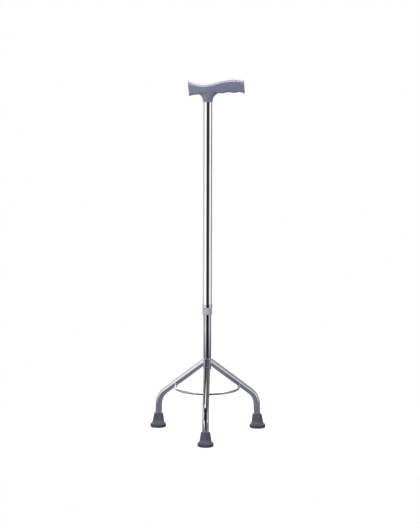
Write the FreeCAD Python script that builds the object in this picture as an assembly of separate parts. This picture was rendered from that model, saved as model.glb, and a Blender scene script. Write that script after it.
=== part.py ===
# Tripod walking cane: a palm grip on a telescoping chromed shaft that stands on three bent legs.
# The frame has +Z up and its origin on the floor, at the centre of the footprint's box.
# The front leg points along -Y and the grip's nose along +X. All sizes are in millimetres.
import FreeCAD, Part
import math
import os

os.makedirs("parts", exist_ok=True)
V = FreeCAD.Vector
UP = V(0, 0, 1)
BACK = V(0, 1, 0)

# Driving dimensions. Radial sizes are measured from the shaft's axis.
UPPER_R = 11.0          # outer radius of the upper tube
LOWER_R = 9.5           # outer radius of the lower tube
LEG_R = 8.0             # outer radius of each leg
ROD_R = 3.0             # radius of the brace's rod
TUBE_WALL = 1.2
RUNNING_GAP = 0.05      # radial clearance of parts that turn or slide on each other
LOOSE_GAP = 0.3         # radial clearance of parts that only pass each other

FOOT_CIRCLE_R = 140.0   # from the shaft's axis to the middle of each tip
LEG_ANGLES = {"front": -90.0, "right": 30.0, "left": 150.0}
HUB_Z = 183.0           # where the legs' axes meet the shaft's axis
ELBOW_REACH = 137.0
ELBOW_Z = 79.5
ELBOW_BEND_R = 45.0
LEG_END_Z = 11.0

LOWER_BOTTOM_Z = 160.0
LOWER_TOP_Z = 448.0
UPPER_BOTTOM_Z = 311.5
UPPER_TOP_Z = 836.0
BUTTON_Z = 430.0
HOLE_PITCH = 25.0
HOLES_EACH_WAY = 3      # height settings above and below the one in use
BUTTON_R = 3.2

BRACE_Z = 113.0
BRACE_BEND_R = 76.0
BRACE_TAIL_Y = 42.0

NECK_R = 11.8
NECK_BOTTOM_Z = 808.0
GRIP_HEEL_X = -47.3
GRIP_NOSE_X = 86.0
GRIP_HALF_WIDTH = 15.5
SCREW_Z = 821.0

# The shaft stands behind the origin, because one leg points forward and two point back.
SHAFT_OFFSET = V(0, FOOT_CIRCLE_R / 4, 0)


def save(name, shape):
    """Write one named piece, moved from the shaft's axis into the cane's own frame."""
    placed = shape.copy()
    placed.translate(SHAFT_OFFSET)
    placed.exportStep(f"parts/{name}.step")


def cylinder(radius, low, high):
    return Part.makeCylinder(radius, high - low, V(0, 0, low))


def ring(outer, inner, low, high):
    return cylinder(outer, low, high).cut(cylinder(inner, low - 1, high + 1))


def rear_bore(radius, height, depth_from=0.0, depth_to=30.0):
    """A round cutter that points straight back from the shaft's axis."""
    return Part.makeCylinder(radius, depth_to - depth_from, V(0, depth_from, height), BACK)


def rounded_path(points, radius):
    """A wire through the points, with each inner corner rounded to the radius."""
    edges = []
    start = points[0]
    for before, corner, after in zip(points, points[1:], points[2:]):
        back = (before - corner).normalize()
        ahead = (after - corner).normalize()
        half_angle = back.getAngle(ahead) / 2
        reach = radius / math.tan(half_angle)
        inset = radius / math.sin(half_angle) - radius
        first = corner + back * reach
        middle = corner + (back + ahead).normalize() * inset
        last = corner + ahead * reach
        edges.append(Part.LineSegment(start, first).toShape())
        edges.append(Part.Arc(first, middle, last).toShape())
        start = last
    edges.append(Part.LineSegment(start, points[-1]).toShape())
    return Part.Wire(edges)


def swept_rod(path, radius):
    """A round solid of one radius along the path."""
    first = path.OrderedEdges[0]
    tangent = first.tangentAt(first.FirstParameter)
    section = Part.Wire(Part.makeCircle(radius, path.OrderedVertexes[0].Point, tangent))
    return path.makePipeShell([section], True, False)


def turned(outline):
    """A solid of revolution about Z. The outline's items are points, or triples for an arc."""
    edges = []
    here = outline[0]
    for item in outline[1:]:
        if isinstance(item, tuple):
            edges.append(Part.Arc(here, item[0], item[1]).toShape())
            here = item[1]
        else:
            edges.append(Part.LineSegment(here, item).toShape())
            here = item
    edges.append(Part.LineSegment(here, outline[0]).toShape())
    return Part.Face(Part.Wire(edges)).revolve(V(0, 0, 0), UP, 360)


# ---- Base: lower tube, legs, brace and tips ----

def lower_tube():
    tube = ring(LOWER_R, LOWER_R - TUBE_WALL, LOWER_BOTTOM_Z, LOWER_TOP_Z)
    return tube.cut(rear_bore(BUTTON_R + 0.2, BUTTON_Z))


def leg_blank(radius):
    """One leg as a solid rod of the given radius, lying in the plane y = 0 towards +X."""
    splay = (FOOT_CIRCLE_R - ELBOW_REACH) / ELBOW_Z
    foot = V(FOOT_CIRCLE_R - splay * LEG_END_Z, 0, LEG_END_Z)
    path = rounded_path([V(0, 0, HUB_Z), V(ELBOW_REACH, 0, ELBOW_Z), foot], ELBOW_BEND_R)
    return swept_rod(path, radius)


def leg():
    """A bent tube whose upper end is coped to the lower tube."""
    cope = cylinder(LOWER_R, LOWER_BOTTOM_Z - 20, HUB_Z + 40)
    return leg_blank(LEG_R).cut(leg_blank(LEG_R - TUBE_WALL)).cut(cope)


def brace():
    """A U of round rod inside the legs, coped where it is welded to each of them."""
    side = V(BRACE_BEND_R, 0, BRACE_Z)
    front = V(0, -BRACE_BEND_R, BRACE_Z)
    other = V(-BRACE_BEND_R, 0, BRACE_Z)
    tail = V(0, BRACE_TAIL_Y, 0)
    path = Part.Wire([
        Part.LineSegment(side + tail, side).toShape(),
        Part.Arc(side, front, other).toShape(),
        Part.LineSegment(other, other + tail).toShape(),
    ])
    rod = swept_rod(path, ROD_R)
    blank = leg_blank(LEG_R)
    for angle in LEG_ANGLES.values():
        around = blank.copy()
        around.rotate(V(0, 0, 0), UP, angle)
        rod = rod.cut(around)
    return rod


def leg_tilt():
    """How far the foot of a leg leans from the vertical, in degrees."""
    return math.degrees(math.atan((FOOT_CIRCLE_R - ELBOW_REACH) / ELBOW_Z))


def at_foot(shape):
    """Tilt a piece made about Z into line with the foot of the leg along +X."""
    placed = shape.copy()
    placed.rotate(V(0, 0, 0), BACK, -leg_tilt())
    placed.translate(V(FOOT_CIRCLE_R, 0, 0))
    return placed


def rubber_tip():
    """A flared tip: a tapered socket on a wide round sole with two ring grooves."""
    rim_z = 34.0
    rim_r = 11.1
    sole_r = 19.2
    seat_z = 9.5
    sole_edge_r = 1.5
    body = at_foot(turned([
        V(0, 0, -4),
        V(sole_r, 0, -4),
        V(sole_r, 0, 6.2),
        (V(18.8, 0, 7.9), V(17.5, 0, 9.2)),
        (V(14.9, 0, 12.6), V(13.5, 0, 17.6)),
        V(rim_r, 0, rim_z - 0.8),
        (V(rim_r - 0.25, 0, rim_z - 0.2), V(rim_r - 0.8, 0, rim_z)),
        V(LEG_R, 0, rim_z),
        V(LEG_R, 0, seat_z),
        V(0, 0, seat_z),
    ]))
    below_floor = Part.makeBox(120, 120, 20, V(FOOT_CIRCLE_R - 60, -60, -20))
    body = body.cut(below_floor)
    floor_edges = [e for e in body.Edges if e.BoundBox.ZMax < 1e-6]
    body = body.makeFillet(sole_edge_r, floor_edges)
    for inner in (6.5, 11.5):
        groove = ring(inner + 2.0, inner, -1, 1.2)
        groove.translate(V(FOOT_CIRCLE_R, 0, 0))
        body = body.cut(groove)
    return body


def tip_washer():
    """A steel disc in the bottom of each tip, under the leg's cut end."""
    return at_foot(cylinder(LEG_R - LOOSE_GAP, 9.5, LEG_END_Z - 0.1))


def base_plug():
    """A plastic plug that closes the bottom of the lower tube."""
    flange = cylinder(LOWER_R - 0.2, LOWER_BOTTOM_Z - 2.0, LOWER_BOTTOM_Z)
    flange = flange.makeChamfer(0.8, [e for e in flange.Edges if e.BoundBox.ZMax < LOWER_BOTTOM_Z - 1])
    stem = cylinder(LOWER_R - TUBE_WALL, LOWER_BOTTOM_Z, LOWER_BOTTOM_Z + 12.0)
    return flange.fuse(stem)


def guide_bush():
    """A plastic bush on the lower tube's top end, which runs inside the upper tube."""
    head_r = UPPER_R - TUBE_WALL - RUNNING_GAP
    stem_r = LOWER_R - TUBE_WALL
    head = cylinder(head_r, LOWER_TOP_Z, LOWER_TOP_Z + 4.0)
    stem = cylinder(stem_r, LOWER_TOP_Z - 8.0, LOWER_TOP_Z)
    return head.fuse(stem).cut(cylinder(stem_r - 1.0, LOWER_TOP_Z - 9, LOWER_TOP_Z + 5))


# ---- Height lock: spring clip and button ----

SPRING_OUT_Y = 7.5      # outer face of the spring's legs at the tube's wall
SPRING_THICKNESS = 0.6


def snap_spring():
    """A V of spring strip inside the lower tube, with the button on its rear leg."""
    middle = SPRING_OUT_Y - SPRING_THICKNESS / 2
    top = BUTTON_Z + 7.0
    knee = BUTTON_Z - 7.0
    bottom = BUTTON_Z - 42.0
    line = rounded_path([
        V(0, -middle, top), V(0, -middle, knee), V(0, 0, bottom), V(0, middle, knee), V(0, middle, top),
    ], 2.0)
    strip_width = 6.0
    edge = line.OrderedVertexes[0].Point
    half = V(0, SPRING_THICKNESS / 2, 0)
    side = V(strip_width / 2, 0, 0)
    corners = [edge - half - side, edge + half - side, edge + half + side, edge - half + side]
    section = Part.makePolygon(corners + corners[:1])
    return line.makePipeShell([section], True, True)


def snap_button():
    """A domed button that locks both tubes, riveted to the spring's rear leg."""
    dome_r = 9.0
    top = 12.6
    straight = Part.makeCylinder(BUTTON_R, top - SPRING_OUT_Y, V(0, SPRING_OUT_Y, BUTTON_Z), BACK)
    dome = Part.makeSphere(dome_r, V(0, top - dome_r, BUTTON_Z))
    return straight.common(dome)


# ---- Upper shaft: tube, collar and lock ----

def upper_tube():
    tube = ring(UPPER_R, UPPER_R - TUBE_WALL, UPPER_BOTTOM_Z, UPPER_TOP_Z)
    for step in range(-HOLES_EACH_WAY, HOLES_EACH_WAY + 1):
        tube = tube.cut(rear_bore(BUTTON_R + 0.4, BUTTON_Z + step * HOLE_PITCH))
    return tube.cut(rear_bore(1.7, SCREW_Z))


SPIGOT_R = 10.5         # outside of the ferrule's spigot and of the split bush, inside the nut
SPIGOT_BOTTOM_Z = 303.0
NUT_BOTTOM_Z = 293.5
NUT_FLOOR_Z = 295.2


def collar_ferrule():
    """A beaded ring pressed on the upper tube's end, with a spigot for the lock nut."""
    bead_r = 12.4
    bead_low = 310.5
    bead_high = 318.0
    bore_r = LOWER_R + LOOSE_GAP
    return turned([
        V(bore_r, 0, SPIGOT_BOTTOM_Z),
        V(SPIGOT_R, 0, SPIGOT_BOTTOM_Z),
        V(SPIGOT_R, 0, bead_low),
        V(bead_r - 1.2, 0, bead_low),
        (V(bead_r - 0.35, 0, bead_low + 0.35), V(bead_r, 0, bead_low + 1.2)),
        V(bead_r, 0, bead_high - 2.4),
        (V(bead_r - 0.35, 0, bead_high - 0.9), V(UPPER_R + 0.5, 0, bead_high)),
        V(UPPER_R, 0, bead_high),
        V(UPPER_R, 0, UPPER_BOTTOM_Z),
        V(bore_r, 0, UPPER_BOTTOM_Z),
    ])


def split_bush():
    """A split plastic ring that the nut squeezes onto the lower tube."""
    bush = ring(SPIGOT_R, LOWER_R + RUNNING_GAP, NUT_FLOOR_Z + 0.3, SPIGOT_BOTTOM_Z)
    slit = Part.makeBox(1.2, 20, 20, V(-0.6, -20, NUT_BOTTOM_Z))
    return bush.cut(slit)


def locking_nut():
    """The turning collar: a fluted waist over a wide lower lip."""
    waist_r = 11.3
    lip_r = 12.0
    lip_top = 297.4
    waist_low = 298.6
    top = 310.2
    bore_r = SPIGOT_R + RUNNING_GAP
    nut = turned([
        V(LOWER_R + 0.35, 0, NUT_BOTTOM_Z),
        V(lip_r - 0.9, 0, NUT_BOTTOM_Z),
        (V(lip_r - 0.26, 0, NUT_BOTTOM_Z + 0.26), V(lip_r, 0, NUT_BOTTOM_Z + 0.9)),
        V(lip_r, 0, lip_top),
        V(waist_r, 0, waist_low),
        V(waist_r, 0, top - 0.4),
        V(waist_r - 0.4, 0, top),
        V(bore_r, 0, top),
        V(bore_r, 0, NUT_FLOOR_Z),
        V(LOWER_R + 0.35, 0, NUT_FLOOR_Z),
    ])
    flute_count = 20
    flute_r = 1.1
    flute_depth = 0.35
    for number in range(flute_count):
        angle = 2 * math.pi * number / flute_count
        reach = waist_r + flute_r - flute_depth
        foot = V(reach * math.cos(angle), reach * math.sin(angle), waist_low + 1.6)
        nut = nut.cut(Part.makeCylinder(flute_r, top - foot.z - 1.6, foot))
    return nut


# ---- Handle ----

TOP_EDGE = [            # x and height of the edge between the grip's side and its crowned top
    (GRIP_HEEL_X, 853.4), (-28.0, 848.7), (-5.0, 846.6), (20.0, 852.2),
    (42.0, 857.4), (64.0, 859.1), (GRIP_NOSE_X, 854.1),
]
CROWN = 5.0             # rise of the top between its two edges
ARCH_X = -30.0          # top of the arch under the heel
ARCH_Z = 825.8
HEEL_DROP = 3.8
FINGER_PITCH = 28.5
FINGER_DEPTH = 1.0
FIRST_RIDGE_X = 34.5
FINGERS_START_X = FIRST_RIDGE_X - FINGER_PITCH / 4
FINGERS_Z = 830.0
FINGERS_SLOPE = 0.045
NOSE_START_X = 73.0
NOSE_DROP = 3.7          # how far the nose's foot droops below the waves
HEEL_LEAN = 3.0         # how far the ends' lower corners stand towards +X of their upper ones
NOSE_LEAN = 2.1


def underside(x):
    """Height of the grip's underside: heel arch, plain web, then waves for the fingers."""
    if x < ARCH_X:
        return ARCH_Z - HEEL_DROP * ((ARCH_X - x) / (ARCH_X - GRIP_HEEL_X)) ** 1.5
    if x < FINGERS_START_X:
        share = (x - ARCH_X) / (FINGERS_START_X - ARCH_X)
        return ARCH_Z + share * (FINGERS_Z - ARCH_Z)
    wave = FINGER_DEPTH * math.cos(2 * math.pi * (x - FIRST_RIDGE_X) / FINGER_PITCH)
    share = max(x - NOSE_START_X, 0) / (GRIP_NOSE_X - NOSE_START_X)
    droop = NOSE_DROP * share ** 2 * (3 - 2 * share)
    return FINGERS_Z + FINGERS_SLOPE * (x - FINGERS_START_X) - wave - droop


def grip_section(x, lean, half_width, low, edge):
    """A closed section of the grip: crowned top, upright sides and a rounded underside.
    lean moves the section's foot along X against its top."""
    top_r = 3.0
    foot_r = 7.0
    cut = 1 - math.sqrt(0.5)

    def at(y, z):
        return V(x + lean * (edge - z) / (edge - low), y, z)

    w = half_width
    corners = [
        (at(-w, low + foot_r), None, at(-w, edge - top_r)),
        (at(-w, edge - top_r), at(-w + cut * top_r, edge - cut * top_r), at(-w + top_r, edge)),
        (at(-w + top_r, edge), at(0, edge + CROWN), at(w - top_r, edge)),
        (at(w - top_r, edge), at(w - cut * top_r, edge - cut * top_r), at(w, edge - top_r)),
        (at(w, edge - top_r), None, at(w, low + foot_r)),
        (at(w, low + foot_r), at(w - cut * foot_r, low + cut * foot_r), at(w - foot_r, low)),
        (at(w - foot_r, low), None, at(-w + foot_r, low)),
        (at(-w + foot_r, low), at(-w + cut * foot_r, low + cut * foot_r), at(-w, low + foot_r)),
    ]
    edges = []
    for first, middle, last in corners:
        curve = Part.LineSegment(first, last) if middle is None else Part.Arc(first, middle, last)
        edges.append(curve.toShape())
    return Part.Wire(edges)


def grip():
    """The palm rest, lofted from its heel to its nose."""
    edge_line = Part.BSplineCurve()
    edge_line.interpolate([V(x, 0, z) for x, z in TOP_EDGE])
    sections = []
    stations = 20
    for number in range(stations + 1):
        share = number / stations
        x = GRIP_HEEL_X + share * (GRIP_NOSE_X - GRIP_HEEL_X)
        plumb = Part.LineSegment(V(x, 0, 700), V(x, 0, 900))
        edge = edge_line.intersectCC(plumb)[0].Z if 0 < number < stations else TOP_EDGE[-bool(number)][1]
        lean = HEEL_LEAN * (1 - share) ** 6 + NOSE_LEAN * share ** 6
        half_width = GRIP_HALF_WIDTH - 2.0 * (2 * share - 1) ** 6
        sections.append(grip_section(x, lean, half_width, underside(x), edge))
    return Part.makeLoft(sections, True, False)


def neck():
    """The neck that flares from the tube's width into the grip."""
    flare_z = 810.5
    inside_z = 832.0
    stations = 7
    sections = [Part.Wire(Part.makeCircle(NECK_R, V(0, 0, NECK_BOTTOM_Z)))]
    for number in range(stations + 1):
        share = number / stations
        height = flare_z + share * (inside_z - flare_z)
        left = NECK_R + 21.0 * share ** 2.4
        right = NECK_R + 20.0 * share ** 2.4
        depth = NECK_R + 2.6 * share ** 2
        middle = (right - left) / 2
        ellipse = Part.Ellipse(V(middle, 0, height), (left + right) / 2 + 1e-4, depth)
        sections.append(Part.Wire(ellipse.toShape()))
    return Part.makeLoft(sections, True, False)


def handle():
    """One moulding: the grip and its neck, with a blind socket for the upper tube."""
    body = grip().fuse(neck())
    body = body.cut(cylinder(UPPER_R, NECK_BOTTOM_Z - 1, UPPER_TOP_Z))
    body = body.cut(rear_bore(2.1, SCREW_Z))
    return body.cut(rear_bore(3.6, SCREW_Z, depth_from=12.4))


def handle_screw():
    """A pan-head screw through the rear of the neck and the tube's wall."""
    head = Part.makeCylinder(3.4, 1.6, V(0, 12.4, SCREW_Z), BACK)
    head = head.makeFillet(0.7, [e for e in head.Edges if e.BoundBox.YMin > 13.9])
    shank = Part.makeCylinder(1.7, 6.4, V(0, 6.0, SCREW_Z), BACK)
    slot = Part.makeBox(5.4, 1.0, 1.0, V(-2.7, 13.4, SCREW_Z - 0.5))
    return head.fuse(shank).cut(slot)


def main():
    save("lower_tube", lower_tube())
    save("brace", brace())
    save("base_plug", base_plug())
    save("guide_bush", guide_bush())
    save("snap_spring", snap_spring())
    save("snap_button", snap_button())
    save("upper_tube", upper_tube())
    save("collar_ferrule", collar_ferrule())
    save("split_bush", split_bush())
    save("locking_nut", locking_nut())
    save("handle", handle())
    save("handle_screw", handle_screw())
    standing = {"leg": leg(), "tip": rubber_tip(), "tip_washer": tip_washer()}
    for place, angle in LEG_ANGLES.items():
        for name, shape in standing.items():
            turned_shape = shape.copy()
            turned_shape.rotate(V(0, 0, 0), UP, angle)
            save(f"{place}_{name}", turned_shape)


main()
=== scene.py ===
"""Tripod walking cane: looks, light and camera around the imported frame. Lengths are in metres."""

import math

import bmesh
import bpy
from mathutils import Matrix, Vector, noise


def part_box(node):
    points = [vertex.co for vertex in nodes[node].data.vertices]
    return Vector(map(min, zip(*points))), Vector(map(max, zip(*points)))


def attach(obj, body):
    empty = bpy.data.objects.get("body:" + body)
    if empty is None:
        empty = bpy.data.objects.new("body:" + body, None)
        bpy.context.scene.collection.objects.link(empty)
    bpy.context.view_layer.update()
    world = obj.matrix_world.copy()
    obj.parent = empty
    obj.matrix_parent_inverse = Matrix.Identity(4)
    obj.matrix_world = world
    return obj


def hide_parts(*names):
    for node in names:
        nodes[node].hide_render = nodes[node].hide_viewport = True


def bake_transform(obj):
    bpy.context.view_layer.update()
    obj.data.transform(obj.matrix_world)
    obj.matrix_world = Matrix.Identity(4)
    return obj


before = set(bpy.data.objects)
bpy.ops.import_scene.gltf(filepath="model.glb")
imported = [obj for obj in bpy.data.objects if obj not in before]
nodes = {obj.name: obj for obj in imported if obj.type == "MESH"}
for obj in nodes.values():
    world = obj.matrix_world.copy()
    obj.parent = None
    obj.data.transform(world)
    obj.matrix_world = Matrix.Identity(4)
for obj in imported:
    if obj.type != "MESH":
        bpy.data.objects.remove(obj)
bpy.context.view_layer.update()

MM = 0.001
UP = Vector((0, 0, 1))

# Places taken from the frame
low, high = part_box("upper_tube")
SHAFT = Vector(((low.x + high.x) / 2, (low.y + high.y) / 2, 0))
TUBE_R = (high.x - low.x) / 2
TUBE_TOP = high.z
LOWER_R = (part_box("lower_tube")[1].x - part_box("lower_tube")[0].x) / 2

# Dimensions of the base, as in the part's source, with the legs' directions in degrees
LEG_PLACES = {"front": -90.0, "right": 30.0, "left": 150.0}
LEG_R = 8.0 * MM
FOOT_CIRCLE_R = 140.0 * MM
ELBOW_REACH = 137.0 * MM
ELBOW_Z = 79.5 * MM
HUB_Z = 183.0 * MM
BRACE_BEND_R = 76.0 * MM
BRACE_ROD_R = 3.0 * MM

SHARP_ANGLE = math.radians(50)


# ---- Mesh helpers ----

def add_mesh(name, vertices, faces):
    """A smooth-shaded mesh object. Points that coincide are merged, and normals point outwards."""
    coincident = 0.0001 * MM
    mesh = bpy.data.meshes.new(name)
    mesh.from_pydata([tuple(v) for v in vertices], [], faces)
    shell = bmesh.new()
    shell.from_mesh(mesh)
    bmesh.ops.remove_doubles(shell, verts=shell.verts, dist=coincident)
    bmesh.ops.recalc_face_normals(shell, faces=shell.faces)
    shell.to_mesh(mesh)
    shell.free()
    mesh.polygons.foreach_set("use_smooth", [True] * len(mesh.polygons))
    piece = bpy.data.objects.new(name, mesh)
    bpy.context.scene.collection.objects.link(piece)
    return piece


def ring_faces(rings, sides, closed):
    """Quads between consecutive rings of vertices, joined end to end where closed."""
    faces = []
    for i in range(rings if closed else rings - 1):
        j = (i + 1) % rings
        for k in range(sides):
            n = (k + 1) % sides
            faces.append((i * sides + k, i * sides + n, j * sides + n, j * sides + k))
    return faces


def lathe(name, profile, sides, wave=None, lean=0.0):
    """Turn a closed (radius, height) profile about Z. wave(angle, r, z) may change the radius,
    and lean slides each height sideways along -X to follow a leg."""
    vertices = []
    for r, z in profile:
        for k in range(sides):
            angle = 2 * math.pi * k / sides
            reach = wave(angle, r, z) if wave else r
            vertices.append((reach * math.cos(angle) - lean * z, reach * math.sin(angle), z))
    return add_mesh(name, vertices, ring_faces(len(profile), sides, True))


def place_on_leg(piece, angle):
    """Move a piece built at the origin to the foot of the leg at that angle, in degrees."""
    turn = Matrix.Rotation(math.radians(angle), 4, "Z")
    outwards = Matrix.Translation((FOOT_CIRCLE_R, 0, 0))
    piece.data.transform(Matrix.Translation(SHAFT) @ turn @ outwards)


def add_modifier(piece, kind, **settings):
    modifier = piece.modifiers.new(kind.lower(), kind)
    for key, value in settings.items():
        setattr(modifier, key, value)
    return modifier


def apply_modifiers(piece):
    """Bake the modifiers into the mesh."""
    depsgraph = bpy.context.evaluated_depsgraph_get()
    baked = bpy.data.meshes.new_from_object(piece.evaluated_get(depsgraph))
    piece.modifiers.clear()
    piece.data = baked
    piece.data.polygons.foreach_set("use_smooth", [True] * len(piece.data.polygons))


def apply_boolean(piece, operation, other):
    """Join or cut one piece with another, which is then removed."""
    add_modifier(piece, "BOOLEAN", operation=operation, object=other, solver="EXACT")
    apply_modifiers(piece)
    bpy.data.objects.remove(other)


def remove_slivers(piece):
    """Merge the hair-thin triangles that cutting leaves, and drop any crumbs cut loose."""
    tolerance = 0.01 * MM
    crumb_faces = 100
    shell = bmesh.new()
    shell.from_mesh(piece.data)
    bmesh.ops.remove_doubles(shell, verts=shell.verts, dist=tolerance)
    bmesh.ops.dissolve_degenerate(shell, edges=shell.edges, dist=tolerance)
    bmesh.ops.triangulate(shell, faces=shell.faces)
    waiting = set(shell.faces)
    crumbs = []
    while waiting:
        island = [waiting.pop()]
        for face in island:
            near = {other for edge in face.edges for other in edge.link_faces} & waiting
            waiting -= near
            island.extend(near)
        if len(island) < crumb_faces:
            crumbs.extend(island)
    bmesh.ops.delete(shell, geom=crumbs, context="FACES")
    shell.to_mesh(piece.data)
    shell.free()


def rod_between(name, start, end, radius, sides=96):
    """A closed cylinder between two points, used as a cutter or a core."""
    axis = (end - start).normalized()
    across, along = perpendiculars(axis)
    vertices = []
    for centre in (start, end):
        for k in range(sides):
            angle = 2 * math.pi * k / sides
            spoke = math.cos(angle) * across + math.sin(angle) * along
            vertices.append(centre + radius * spoke)
    faces = ring_faces(2, sides, False) + [tuple(range(sides)), tuple(range(sides, 2 * sides))]
    return add_mesh(name, vertices, faces)


def perpendiculars(axis):
    """Two unit vectors square to the axis and to each other."""
    helper = UP if abs(axis.z) < 0.9 else Vector((1, 0, 0))
    across = axis.cross(helper).normalized()
    return across, axis.cross(across).normalized()


def crossings(start, direction, axis_point, axis, radius):
    """Where a straight line meets the surface of a round bar: none or two distances along it."""
    offset = start - axis_point
    flat_way = direction - axis * direction.dot(axis)
    flat_offset = offset - axis * offset.dot(axis)
    a = flat_way.length_squared
    b = flat_way.dot(flat_offset)
    root = b * b - a * (flat_offset.length_squared - radius * radius)
    if root < 0:
        return []
    return [(-b - math.sqrt(root)) / a, (-b + math.sqrt(root)) / a]


def weld_bead(name, line, size, seed):
    """A rippled bead of weld along a closed line of points, uneven in its own way for each seed."""
    sides = 14
    count = len(line)
    ripple_length = 2.6 * MM
    ripple_share = 0.07
    uneven_share = 0.2
    lumps_per_metre = 120
    travelled = 0.0
    vertices = []
    for i, here in enumerate(line):
        ahead = (line[(i + 1) % count] - line[i - 1]).normalized()
        across, along = perpendiculars(ahead)
        travelled += (here - line[i - 1]).length
        swell = 1 + ripple_share * math.sin(2 * math.pi * travelled / ripple_length)
        swell += uneven_share * noise.noise(here * lumps_per_metre + Vector((seed, 0, 0)))
        for k in range(sides):
            angle = 2 * math.pi * k / sides
            spoke = math.cos(angle) * across + math.sin(angle) * along
            vertices.append(here + size * swell * spoke)
    return add_mesh(name, vertices, ring_faces(count, sides, True))


# ---- Pieces ----

def handle():
    """The moulding with softened edges: its CAD shape made solid, remeshed and smoothed, with the
    tube's socket and the screw's seat cut again."""
    same_point = 0.001 * MM
    voxel = 0.5 * MM
    filled_round, filled_above = 0.3 * MM, 0.5 * MM
    bored_round, bored_above, bored_below = 0.04 * MM, 0.1 * MM, 5 * MM
    shank_r, shank_run = 2.1 * MM, 40 * MM
    head_r, head_run, head_height = 3.7 * MM, 30 * MM, 1.6 * MM

    piece = bpy.data.objects.new("grip_moulding", nodes["handle"].data.copy())
    bpy.context.scene.collection.objects.link(piece)
    piece.data.materials.clear()
    weld = bmesh.new()
    weld.from_mesh(piece.data)
    bmesh.ops.remove_doubles(weld, verts=weld.verts, dist=same_point)
    weld.to_mesh(piece.data)
    weld.free()

    neck_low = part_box("handle")[0].z
    core_top = SHAFT + UP * (TUBE_TOP + filled_above)
    core = rod_between("core", SHAFT + UP * neck_low, core_top, TUBE_R + filled_round)
    apply_boolean(piece, "UNION", core)
    add_modifier(piece, "REMESH", mode="VOXEL", voxel_size=voxel, use_smooth_shade=True)
    add_modifier(piece, "SMOOTH", factor=0.5, iterations=30)
    apply_modifiers(piece)

    bore_low = SHAFT + UP * (neck_low - bored_below)
    bore_top = SHAFT + UP * (TUBE_TOP + bored_above)
    bore = rod_between("bore", bore_low, bore_top, TUBE_R + bored_round)
    apply_boolean(piece, "DIFFERENCE", bore)
    screw_low, screw_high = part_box("handle_screw")
    screw_z = (screw_low.z + screw_high.z) / 2
    shank_start = Vector((SHAFT.x, SHAFT.y, screw_z))
    shank_end = shank_start + Vector((0, shank_run, 0))
    apply_boolean(piece, "DIFFERENCE", rod_between("shank", shank_start, shank_end, shank_r, 32))
    seat_start = Vector((SHAFT.x, screw_high.y - head_height, screw_z))
    seat_end = seat_start + Vector((0, head_run, 0))
    apply_boolean(piece, "DIFFERENCE", rod_between("seat", seat_start, seat_end, head_r, 48))
    remove_slivers(piece)
    piece.data.set_sharp_from_angle(angle=SHARP_ANGLE)
    finish_piece(piece, "upper", LOOKS["grip"], "handle")


def arc(centre, radius, start, end, steps=6):
    """Points on a 2-D arc between two angles in degrees."""
    points = []
    for i in range(steps + 1):
        angle = math.radians(start + (end - start) * i / steps)
        across = centre[0] + radius * math.cos(angle)
        points.append((across, centre[1] + radius * math.sin(angle)))
    return points


def tip_profile():
    """The tip's closed outline: grooved sole, flared foot, tapered socket and rolled rim. The
    (radius, height) pairs are in millimetres up to the last line."""
    sole = [(0.0, 0.0), (5.9, 0.0), (6.5, 0.3), (6.8, 1.2), (8.2, 1.2), (8.5, 0.3), (9.1, 0.0)]
    sole += [(10.9, 0.0), (11.5, 0.3), (11.8, 1.2), (13.2, 1.2), (13.5, 0.3), (14.1, 0.0)]
    foot = arc((17.5, 1.6), 1.6, -90, 0) + [(19.14, 3.9), (19.2, 4.4), (19.2, 6.0)]
    foot += arc((16.2, 6.2), 3.0, 4, 62)
    sweep = [(16.5, 9.7), (15.6, 10.8), (14.85, 12.2), (14.25, 13.9), (13.8, 15.7), (13.5, 17.6)]
    rim = [(11.55, 30.4), (11.5, 31.0)] + arc((10.6, 32.6), 1.0, -35, 90) + [(9.4, 33.75)]
    bore = [(8.35, 33.4), (8.03, 32.7), (8.03, 9.5), (0.0, 9.5)]
    return [(r * MM, z * MM) for r, z in sole + foot + sweep + rim + bore]


def rubber_tip(place, angle):
    """One tip, standing on the floor under its leg, with a moulding seam down each side."""
    seam_half_angle = 0.05
    seam_height = 0.22 * MM
    seam_low, seam_high = 3 * MM, 31 * MM
    bore_limit = 9 * MM

    def wave(turn, r, z):
        off_seam = abs(math.sin(turn)) / seam_half_angle
        on_outside = seam_low < z < seam_high and r > bore_limit
        return r + seam_height * math.exp(-off_seam ** 2) * on_outside

    lean = (FOOT_CIRCLE_R - ELBOW_REACH) / ELBOW_Z
    piece = lathe(f"{place}_tip_rubber", tip_profile(), 144, wave, lean)
    place_on_leg(piece, angle)
    piece.data.set_sharp_from_angle(angle=SHARP_ANGLE)
    finish_piece(piece, "base", LOOKS["tip"], f"{place}_tip")


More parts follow.
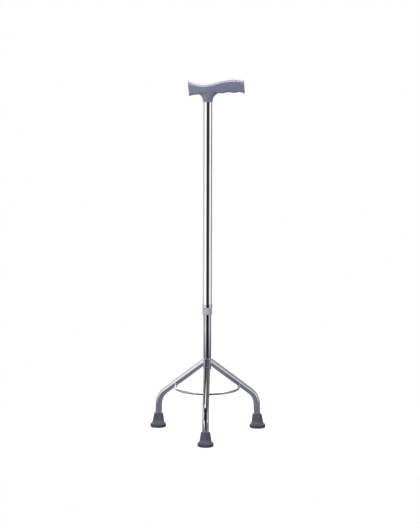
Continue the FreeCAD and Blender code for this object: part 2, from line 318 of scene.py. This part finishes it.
def lock_nut():
    """The turning collar: soft flutes round its waist over a wide lower lip. The outline's
    (radius, height) pairs are in millimetres."""
    flutes = 20
    flute_depth = 0.42 * MM
    flute_low, flute_high, fade_run = 6.3 * MM, 14.7 * MM, 1.2 * MM
    waist_r, waist_low, waist_rows, row_height = 11.3, 5.4, 22, 0.45
    inner_limit, outer_limit = 11.2 * MM, 11.45 * MM
    outline = [(9.9, 0.0), (11.0, 0.0), (11.6, 0.12), (11.9, 0.45), (12.0, 0.95), (12.0, 3.4)]
    outline += [(11.94, 3.75), (11.75, 4.1), (11.5, 4.5), (11.36, 4.9)]
    outline += [(waist_r, waist_low + row_height * i) for i in range(waist_rows + 1)]
    outline += [(11.24, 16.0), (11.08, 16.45), (10.85, 16.65)]
    outline += [(10.55, 16.65), (10.55, 1.7), (9.9, 1.7)]

    def wave(turn, r, z):
        if r < inner_limit or r > outer_limit:
            return r
        inside = min(z - flute_low, flute_high - z) / fade_run
        fade = max(0.0, min(1.0, inside + 0.5))
        groove = (0.5 + 0.5 * math.cos(flutes * turn)) ** 2
        return r - flute_depth * fade * groove

    piece = lathe("lock_collar", [(r * MM, z * MM) for r, z in outline], 480, wave)
    piece.data.transform(Matrix.Translation(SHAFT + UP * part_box("locking_nut")[0].z))
    piece.data.set_sharp_from_angle(angle=math.radians(60))
    finish_piece(piece, "lock", LOOKS["nut"], "locking_nut")


def leg_axis(angle):
    """The point where a leg's axis meets the shaft's axis, and its unit direction."""
    turn = math.radians(angle)
    run = Vector((math.cos(turn) * ELBOW_REACH, math.sin(turn) * ELBOW_REACH, ELBOW_Z - HUB_Z))
    return SHAFT + UP * HUB_Z, run.normalized()


def hub_weld(place, angle, seed):
    """The bead where a leg is welded to the lower tube."""
    bead_r = 1.4 * MM
    steps = 180
    start, along = leg_axis(angle)
    across, over = perpendiculars(along)
    line = []
    for k in range(steps):
        turn = 2 * math.pi * k / steps
        side = LEG_R * (math.cos(turn) * across + math.sin(turn) * over)
        reach = crossings(start + side, along, SHAFT, UP, LOWER_R)[1]
        line.append(start + side + along * reach)
    bead = weld_bead(f"hub_weld_{place}", line, bead_r, seed)
    finish_piece(bead, "base", LOOKS["weld"])


def brace_end_weld(place, angle, side, seed):
    """The bead where one end of the brace, on the side of that sign, is welded to a rear leg."""
    bead_r = 0.75 * MM
    steps = 60
    before_leg = SHAFT.y - 20 * MM
    start, along = leg_axis(angle)
    rod_x = side * BRACE_BEND_R
    rod_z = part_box("brace")[0].z + BRACE_ROD_R
    line = []
    for k in range(steps):
        turn = 2 * math.pi * k / steps
        x = rod_x + BRACE_ROD_R * math.cos(turn)
        here = Vector((x, before_leg, rod_z + BRACE_ROD_R * math.sin(turn)))
        found = crossings(here, Vector((0, 1, 0)), start, along, LEG_R)
        if found:
            line.append(here + Vector((0, found[0], 0)))
    bead = weld_bead(f"brace_weld_{place}", line, bead_r, seed)
    finish_piece(bead, "base", LOOKS["weld"])


def brace_front_weld(seed):
    """The bead round the notch where the brace passes under the front leg."""
    bead_r = 0.8 * MM
    steps = 120
    before_leg = -50 * MM
    start, along = leg_axis(LEG_PLACES["front"])
    rod_y = SHAFT.y - BRACE_BEND_R
    rod_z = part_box("brace")[0].z + BRACE_ROD_R
    near = []
    far = []
    for k in range(steps):
        turn = 2 * math.pi * k / steps - math.pi / 2
        y = rod_y + BRACE_ROD_R * math.cos(turn)
        here = Vector((before_leg, y, rod_z + BRACE_ROD_R * math.sin(turn)))
        found = crossings(here, Vector((1, 0, 0)), start, along, LEG_R)
        if found:
            near.append(here + Vector((found[0], 0, 0)))
            far.append(here + Vector((found[1], 0, 0)))
    bead = weld_bead("brace_weld_front", near + far[::-1], bead_r, seed)
    finish_piece(bead, "base", LOOKS["weld"])


def spring_clip():
    """The V spring as a copy baked in place with the spring steel look, standing for its CAD node.
    Its knee sits just under the button."""
    piece = bpy.data.objects.new("spring_clip", nodes["snap_spring"].data.copy())
    bpy.context.scene.collection.objects.link(piece)
    piece.data.materials.clear()
    piece.data.materials.append(LOOKS["spring"])
    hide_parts("snap_spring")
    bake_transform(piece)


def finish_piece(piece, body, look, replaced=None):
    """Give a piece its look, body and slot, and let it stand for a CAD node if it has one."""
    piece.data.materials.clear()
    piece.data.materials.append(look)
    if replaced:
        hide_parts(replaced)
    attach(piece, body)


# ---- Material helpers ----

def new_material(name):
    material = bpy.data.materials.new(name)
    material.use_nodes = True
    material.node_tree.nodes.clear()
    shader = material.node_tree.nodes.new("ShaderNodeBsdfPrincipled")
    output = material.node_tree.nodes.new("ShaderNodeOutputMaterial")
    material.node_tree.links.new(shader.outputs["BSDF"], output.inputs["Surface"])
    return material, material.node_tree, shader


def add_node(tree, kind, **settings):
    node = tree.nodes.new(kind)
    for key, value in settings.items():
        setattr(node, key, value)
    return node


def coordinates(tree, scale=(1, 1, 1)):
    """Object coordinates, stretched per axis."""
    source = add_node(tree, "ShaderNodeTexCoord")
    mapping = add_node(tree, "ShaderNodeMapping")
    mapping.inputs["Scale"].default_value = scale
    tree.links.new(source.outputs["Object"], mapping.inputs["Vector"])
    return mapping.outputs["Vector"]


def noise_field(tree, scale, detail=3.0, roughness=0.5, stretch=(1, 1, 1)):
    field = add_node(tree, "ShaderNodeTexNoise")
    field.inputs["Scale"].default_value = scale
    field.inputs["Detail"].default_value = detail
    field.inputs["Roughness"].default_value = roughness
    tree.links.new(coordinates(tree, stretch), field.inputs["Vector"])
    return field.outputs["Fac"]


def ramp(tree, value, stops):
    """A colour ramp; stops are (position, colour) pairs."""
    node = add_node(tree, "ShaderNodeValToRGB")
    elements = node.color_ramp.elements
    while len(elements) < len(stops):
        elements.new(0.5)
    for element, (position, colour) in zip(elements, stops):
        element.position = position
        element.color = (*colour, 1)
    tree.links.new(value, node.inputs["Fac"])
    return node.outputs["Color"]


def spread(tree, value, low_out, high_out, low_in=0.3, high_in=0.7):
    """Map a field's middle range to low_out..high_out."""
    node = add_node(tree, "ShaderNodeMapRange")
    node.inputs["From Min"].default_value = low_in
    node.inputs["From Max"].default_value = high_in
    node.inputs["To Min"].default_value = low_out
    node.inputs["To Max"].default_value = high_out
    tree.links.new(value, node.inputs["Value"])
    return node.outputs["Result"]


def math_node(tree, operation, *values):
    node = add_node(tree, "ShaderNodeMath", operation=operation)
    for socket, value in zip(node.inputs, values):
        if isinstance(value, (int, float)):
            socket.default_value = value
        else:
            tree.links.new(value, socket)
    return node.outputs[0]


def bump(tree, shader, layers):
    """Chain bump layers: (height field, strength, distance) from coarse to fine."""
    normal = None
    for height, strength, distance in layers:
        node = add_node(tree, "ShaderNodeBump")
        node.inputs["Strength"].default_value = strength
        node.inputs["Distance"].default_value = distance
        tree.links.new(height, node.inputs["Height"])
        if normal is not None:
            tree.links.new(normal, node.inputs["Normal"])
        normal = node.outputs["Normal"]
    tree.links.new(normal, shader.inputs["Normal"])


def multiply(tree, colour, tint):
    """The product of two colours."""
    product = add_node(tree, "ShaderNodeMix", data_type="RGBA", blend_type="MULTIPLY")
    product.inputs["Factor"].default_value = 1.0
    tree.links.new(colour, product.inputs["A"])
    tree.links.new(tint, product.inputs["B"])
    return product.outputs["Result"]


def height_share(tree, low, high):
    """How far up a point is between two heights of its object: 0 at the lower, 1 at the higher."""
    parts = add_node(tree, "ShaderNodeSeparateXYZ")
    tree.links.new(coordinates(tree), parts.inputs["Vector"])
    return spread(tree, parts.outputs["Z"], 0.0, 1.0, low, high)


def chrome(name, light, dark, smooth=0.05, worn=0.14, hub_shade_heights=None):
    """Bright plating: faint cloudy tone, smudged gloss and hair-fine lengthwise polishing marks.
    The last argument gives a range of heights over which the plating grows rougher downwards and
    darker with painted shade towards the hub."""
    hub_painted_shade_tint = (0.52, 0.52, 0.58)
    dull_roughness = 0.2
    material, tree, shader = new_material(name)
    shader.inputs["Metallic"].default_value = 1.0
    cloud = noise_field(tree, 22.0, detail=4.0)
    tone = ramp(tree, cloud, [(0.3, dark), (0.62, light)])
    smudge = noise_field(tree, 60.0, detail=6.0, roughness=0.6)
    gloss = spread(tree, smudge, smooth, worn, 0.35, 0.8)
    if hub_shade_heights:
        # Painted shade: the plating darkens towards the hub's welds, where the legs meet the tube.
        share = height_share(tree, *hub_shade_heights)
        tone = multiply(tree, tone, ramp(tree, share, [(0.0, hub_painted_shade_tint), (1.0, (1, 1, 1))]))
        added = math_node(tree, "MULTIPLY_ADD", share, -dull_roughness, dull_roughness)
        gloss = math_node(tree, "ADD", gloss, added)
    tree.links.new(tone, shader.inputs["Base Color"])
    tree.links.new(gloss, shader.inputs["Roughness"])
    marks = noise_field(tree, 900.0, detail=2.0, stretch=(1, 1, 0.02))
    bump(tree, shader, [(marks, 0.04, 0.00002)])
    return material


# ---- Materials ----

def grip_plastic():
    """Moulded grey-blue plastic with an uneven tone and a leathery grain."""
    material, tree, shader = new_material("grip_plastic_look")
    dark, middle, light = (0.185, 0.20, 0.29), (0.215, 0.235, 0.335), (0.25, 0.27, 0.37)
    tone = noise_field(tree, 35.0, detail=5.0)
    colour = ramp(tree, tone, [(0.3, dark), (0.55, middle), (0.75, light)])
    tree.links.new(colour, shader.inputs["Base Color"])
    shader.inputs["Specular IOR Level"].default_value = 0.6
    gloss = noise_field(tree, 240.0, detail=3.0)
    tree.links.new(spread(tree, gloss, 0.40, 0.48), shader.inputs["Roughness"])
    grain = add_node(tree, "ShaderNodeTexVoronoi", feature="SMOOTH_F1")
    grain.inputs["Scale"].default_value = 1100.0
    grain.inputs["Smoothness"].default_value = 0.6
    tree.links.new(coordinates(tree), grain.inputs["Vector"])
    fine = noise_field(tree, 2600.0, detail=2.0)
    bump(tree, shader, [(grain.outputs["Distance"], 0.06, 0.0002), (fine, 0.03, 0.0001)])
    return material


def tip_rubber():
    """Dark grey-blue rubber with a fine moulded grain, darkened low down by painted shade and paler
    on the flare by a painted highlight.
    """
    material, tree, shader = new_material("tip_rubber_look")
    dark, middle, light = (0.10, 0.105, 0.135), (0.14, 0.145, 0.18), (0.18, 0.19, 0.22)
    # Tints by height: painted shade near the sole and foot, and a painted highlight on the flare.
    sole_painted_shade, foot_painted_shade, flare_painted_highlight = (0.55, 0.58, 0.58), (0.8, 0.84, 0.84), (1.3, 1.35, 1.4)
    rim_height = 0.034
    tone = noise_field(tree, 90.0, detail=6.0, roughness=0.6)
    colour = ramp(tree, tone, [(0.3, dark), (0.55, middle), (0.75, light)])
    rise = height_share(tree, 0.0, rim_height)
    painted_shade_and_highlight = [(0.1, sole_painted_shade), (0.24, foot_painted_shade), (0.33, flare_painted_highlight), (0.6, (1, 1, 1))]
    tree.links.new(multiply(tree, colour, ramp(tree, rise, painted_shade_and_highlight)), shader.inputs["Base Color"])
    shader.inputs["Specular IOR Level"].default_value = 0.35
    tree.links.new(spread(tree, noise_field(tree, 300.0), 0.62, 0.85), shader.inputs["Roughness"])
    grain = noise_field(tree, 1500.0, detail=3.0)
    bump(tree, shader, [(tone, 0.2, 0.0004), (grain, 0.3, 0.00015)])
    return material


def plain_plastic(name, dark, light, rough_low, rough_high, grain_scale=1200.0):
    """Moulded plastic with uneven tone and a fine skin."""
    material, tree, shader = new_material(name)
    tone = noise_field(tree, 120.0, detail=4.0)
    tree.links.new(ramp(tree, tone, [(0.3, dark), (0.7, light)]), shader.inputs["Base Color"])
    gloss = spread(tree, noise_field(tree, 400.0), rough_low, rough_high)
    tree.links.new(gloss, shader.inputs["Roughness"])
    bump(tree, shader, [(noise_field(tree, grain_scale), 0.15, 0.0001)])
    return material


def plated_steel(name, dark, light, rough_low=0.25, rough_high=0.42):
    """Dull plated or sprung steel with drawn marks."""
    material, tree, shader = new_material(name)
    shader.inputs["Metallic"].default_value = 1.0
    tone = noise_field(tree, 260.0, detail=5.0)
    tree.links.new(ramp(tree, tone, [(0.3, dark), (0.7, light)]), shader.inputs["Base Color"])
    gloss = spread(tree, noise_field(tree, 700.0), rough_low, rough_high)
    tree.links.new(gloss, shader.inputs["Roughness"])
    bump(tree, shader, [(noise_field(tree, 1800.0, stretch=(1, 1, 0.1)), 0.12, 0.00005)])
    return material


# Over these heights painted shade darkens the lower tube's plating towards the hub.
HUB_SHADE_HEIGHTS = (0.19, 0.25)  # heights on the lower tube, just above the hub's welds
LOOKS = {
    "upper_tube": chrome("upper_chrome", (0.80, 0.79, 0.81), (0.74, 0.73, 0.76)),
    "lower_tube": chrome("lower_chrome", (0.40, 0.39, 0.42), (0.34, 0.33, 0.37), hub_shade_heights=HUB_SHADE_HEIGHTS),
    "leg": chrome("leg_chrome", (0.55, 0.545, 0.57), (0.47, 0.465, 0.495), 0.06, 0.16),
    "rod": chrome("rod_chrome", (0.50, 0.50, 0.51), (0.42, 0.42, 0.44), 0.12, 0.25),
    "ferrule": chrome("ferrule_chrome", (0.66, 0.63, 0.67), (0.56, 0.53, 0.58), 0.1, 0.2),
    "grip": grip_plastic(),
    "tip": tip_rubber(),
    "nut": plain_plastic("nut_plastic_look", (0.53, 0.49, 0.56), (0.68, 0.64, 0.71), 0.25, 0.4),
    "bush": plain_plastic("bush_plastic_look", (0.62, 0.61, 0.57), (0.72, 0.71, 0.67), 0.35, 0.5),
    "plug": plain_plastic("plug_plastic_look", (0.035, 0.035, 0.04), (0.06, 0.06, 0.07), 0.4, 0.6),
    "zinc": plated_steel("zinc_steel_look", (0.46, 0.47, 0.48), (0.66, 0.67, 0.66)),
    "spring": plated_steel("spring_steel_look", (0.24, 0.24, 0.28), (0.38, 0.38, 0.42)),
    "button": plated_steel("button_steel_look", (0.52, 0.52, 0.54), (0.68, 0.68, 0.70), 0.15, 0.28),
    "weld": plated_steel("weld_look", (0.66, 0.65, 0.69), (0.84, 0.83, 0.87), 0.08, 0.22),
}

# The CAD nodes that stay visible
CAD_LOOKS = {
    "upper_tube": "upper_tube", "lower_tube": "lower_tube", "collar_ferrule": "ferrule",
    "front_leg": "leg", "right_leg": "leg", "left_leg": "leg", "brace": "rod",
    "front_tip_washer": "zinc", "right_tip_washer": "zinc", "left_tip_washer": "zinc",
    "base_plug": "plug", "guide_bush": "bush", "split_bush": "bush",
    "snap_button": "button", "handle_screw": "zinc",
}
for node_name, look in CAD_LOOKS.items():
    for material_slot in nodes[node_name].material_slots:
        material_slot.material = LOOKS[look]


handle()
for leg_place, leg_angle in LEG_PLACES.items():
    rubber_tip(leg_place, leg_angle)
lock_nut()
for number, (leg_place, leg_angle) in enumerate(LEG_PLACES.items()):
    hub_weld(leg_place, leg_angle, seed=number)
brace_end_weld("right", LEG_PLACES["right"], side=1, seed=11)
brace_end_weld("left", LEG_PLACES["left"], side=-1, seed=12)
brace_front_weld(seed=13)
spring_clip()


# ---- Floor, backdrop, light and camera ----

def emission_material(name, colour, strength):
    material = bpy.data.materials.new(name)
    material.use_nodes = True
    tree = material.node_tree
    tree.nodes.clear()
    glow = add_node(tree, "ShaderNodeEmission")
    glow.inputs["Color"].default_value = (*colour, 1)
    glow.inputs["Strength"].default_value = strength
    output = add_node(tree, "ShaderNodeOutputMaterial")
    tree.links.new(glow.outputs["Emission"], output.inputs["Surface"])
    return material


def hide_from(piece, *rays):
    """Make a stage piece invisible to those kinds of ray."""
    for kind in rays:
        setattr(piece, f"visible_{kind}", False)


def disc(name, centre, radius, height):
    """A flat round sheet."""
    sides = 96
    rim = []
    for k in range(sides):
        angle = 2 * math.pi * k / sides
        x = centre[0] + radius * math.cos(angle)
        rim.append((x, centre[1] + radius * math.sin(angle), height))
    return add_mesh(name, rim, [tuple(range(sides))])


def matte(name, dark, light):
    material, tree, shader = new_material(name)
    tone = noise_field(tree, 3.0, detail=2.0)
    tree.links.new(ramp(tree, tone, [(0.3, dark), (0.7, light)]), shader.inputs["Base Color"])
    shader.inputs["Roughness"].default_value = 0.9
    shader.inputs["Specular IOR Level"].default_value = 0.0
    return material


def floor():
    """A pale floor for the camera, clear from below, and the smaller grey ground just under it
    that reflections see instead."""
    piece = disc("floor", (0, 0), radius=0.62, height=0)
    white = matte("floor_look", (0.24, 0.24, 0.24), (0.26, 0.26, 0.26))
    tree = white.node_tree
    glow = tree.nodes["Principled BSDF"]
    glow.inputs["Emission Color"].default_value = (1, 1, 1, 1)
    glow.inputs["Emission Strength"].default_value = 0.86
    back_side = add_node(tree, "ShaderNodeNewGeometry").outputs["Backfacing"]
    clear = add_node(tree, "ShaderNodeBsdfTransparent").outputs["BSDF"]
    see_through = add_node(tree, "ShaderNodeMixShader")
    tree.links.new(back_side, see_through.inputs["Fac"])
    tree.links.new(glow.outputs["BSDF"], see_through.inputs[1])
    tree.links.new(clear, see_through.inputs[2])
    surface = tree.nodes["Material Output"].inputs["Surface"]
    tree.links.new(see_through.outputs["Shader"], surface)
    piece.data.materials.append(white)
    hide_from(piece, "diffuse", "glossy", "transmission", "shadow")
    ground = disc("ground", (0.03, 0.13), radius=0.50, height=-0.5 * MM)
    ground.data.materials.append(emission_material("ground_look", (0.30, 0.31, 0.38), 1.0))
    hide_from(ground, "camera", "shadow")


def backdrop():
    """A white surround that only the camera sees, so that reflections come from the lights."""
    bpy.ops.mesh.primitive_uv_sphere_add(segments=32, ring_count=16, radius=15.0)
    piece = bpy.context.object
    piece.name = "backdrop"
    piece.data.materials.append(emission_material("backdrop_look", (1, 1, 1), 1.0))
    hide_from(piece, "diffuse", "glossy", "transmission", "volume_scatter", "shadow")


def ring_of_light(tree, turn, levels):
    """A band of the surroundings: (degrees round from the camera, grey level) pairs. Its green is
    held back a little, as the photograph's plating is faintly violet."""
    green = 0.98
    stops = []
    for degrees, level in levels:
        stops.append(((degrees + 180) / 360, (level, green * level, level)))
    return ramp(tree, turn, stops)


def layer(tree, height, low, high, below, above):
    """Blend from one colour to another between two heights on the sky sphere."""
    blend = add_node(tree, "ShaderNodeMix", data_type="RGBA")
    rise = ramp(tree, height, [(low, (0, 0, 0)), (high, (1, 1, 1))])
    tree.links.new(rise, blend.inputs["Factor"])
    tree.links.new(below, blend.inputs["A"])
    tree.links.new(above, blend.inputs["B"])
    return blend.outputs["Result"]


def studio_world():
    """The room that the plating mirrors: dark round the camera and brighter to both sides and
    behind the cane, in a low band, a high band and a dim ceiling. Matt surfaces get less of it."""
    horizon = (0.48, 0.53)
    ceiling_edge = (0.70, 0.81)
    mirrored_strength = 2.4
    matt_strength = 1.0
    world = bpy.data.worlds.new("studio")
    bpy.context.scene.world = world
    world.use_nodes = True
    tree = world.node_tree
    tree.nodes.clear()
    source = add_node(tree, "ShaderNodeTexCoord")
    parts = add_node(tree, "ShaderNodeSeparateXYZ")
    tree.links.new(source.outputs["Generated"], parts.inputs["Vector"])
    toward = math_node(tree, "MULTIPLY", parts.outputs["Y"], -1.0)
    azimuth = math_node(tree, "ARCTAN2", parts.outputs["X"], toward)
    turn = math_node(tree, "MULTIPLY_ADD", azimuth, 0.5 / math.pi, 0.5)
    height = math_node(tree, "MULTIPLY_ADD", parts.outputs["Z"], 0.5, 0.5)
    low_wall = ring_of_light(tree, turn, [
        (-180, 0.35), (-110, 0.28), (-82, 0.32), (-70, 0.7), (-40, 0.7), (-24, 0.07),
        (-11, 0.012), (30, 0.012), (48, 0.18), (60, 0.62), (82, 0.58), (94, 0.13),
        (135, 0.14), (165, 0.32), (180, 0.35),
    ])
    high_wall = ring_of_light(tree, turn, [
        (-180, 1.0), (-160, 0.9), (-142, 0.25), (-124, 0.25), (-110, 0.6), (-82, 0.55),
        (-74, 0.6), (-64, 0.5), (-54, 0.05), (-36, 0.012), (34, 0.012), (52, 0.14),
        (62, 0.42), (76, 0.26), (94, 0.28), (108, 0.33), (124, 0.16), (166, 0.10), (179, 0.8),
    ])
    ceiling = ring_of_light(tree, turn, [
        (-180, 0.04), (-120, 0.03), (-60, 0.02), (0, 0.01), (60, 0.05), (120, 0.08), (180, 0.04),
    ])
    walls = layer(tree, height, *horizon, low_wall, high_wall)
    room = layer(tree, height, *ceiling_edge, walls, ceiling)
    shade = add_node(tree, "ShaderNodeBackground")
    on_matt = add_node(tree, "ShaderNodeLightPath").outputs["Is Diffuse Ray"]
    change = matt_strength - mirrored_strength
    strength = math_node(tree, "MULTIPLY_ADD", on_matt, change, mirrored_strength)
    tree.links.new(strength, shade.inputs["Strength"])
    tree.links.new(room, shade.inputs["Color"])
    output = add_node(tree, "ShaderNodeOutputWorld")
    tree.links.new(shade.outputs["Background"], output.inputs["Surface"])


def soft_light(name, place, target, width, height, power, mirrored):
    """A rectangular area light. One that isn't mirrored only lights matt surfaces."""
    data = bpy.data.lights.new(name, "AREA")
    data.shape = "RECTANGLE"
    data.size = width
    data.size_y = height
    data.energy = power
    lamp = bpy.data.objects.new(name, data)
    aim = (target - place).to_track_quat("-Z", "Y").to_matrix().to_4x4()
    lamp.matrix_world = Matrix.Translation(place) @ aim
    lamp.visible_glossy = mirrored
    lamp.visible_camera = False
    bpy.context.scene.collection.objects.link(lamp)


def light_card():
    """A white card lying level, left of the cane and above it, seen only in polished surfaces."""
    left, right = -0.60, -0.10
    front, back = -0.40, 0.03
    height = 0.96
    outline = [(left, front), (right, front), (right, back), (left, back)]
    piece = add_mesh("light_card", [(x, y, height) for x, y in outline], [(0, 1, 2, 3)])
    piece.data.materials.append(emission_material("light_card_look", (1, 1, 1), 2.2))
    hide_from(piece, "camera", "diffuse", "transmission", "shadow")


def camera():
    """A long lens 8 m away, a little above the cane and a touch to its right."""
    distance = 7.883
    height = 1.797
    yaw = math.radians(1.5)
    roll = Matrix.Rotation(math.radians(0.13), 4, "Z")
    target = SHAFT + UP * 0.435
    place = SHAFT + Vector((distance * math.sin(yaw), -distance * math.cos(yaw), height))
    data = bpy.data.cameras.new("camera")
    data.lens = 227.3
    data.sensor_width = 36.0
    data.shift_x = 0.00483
    data.shift_y = -0.01483
    data.clip_end = 100.0
    lens = bpy.data.objects.new("camera", data)
    aim = (target - place).to_track_quat("-Z", "Y").to_matrix().to_4x4()
    lens.matrix_world = Matrix.Translation(place) @ aim @ roll
    bpy.context.scene.collection.objects.link(lens)
    bpy.context.scene.camera = lens


floor()
backdrop()
studio_world()
light_card()
soft_light(
    "overhead", Vector((0, 1.385, 2.56)), target=Vector((0, 0, 0.85)),
    width=1.7, height=1.5, power=88, mirrored=True,
)
soft_light(
    "key", Vector((-0.45, -2.4, 1.9)), target=Vector((0, 0, 0.45)),
    width=0.6, height=0.6, power=54, mirrored=False,
)
camera()
bpy.context.scene.view_settings.view_transform = "Standard"
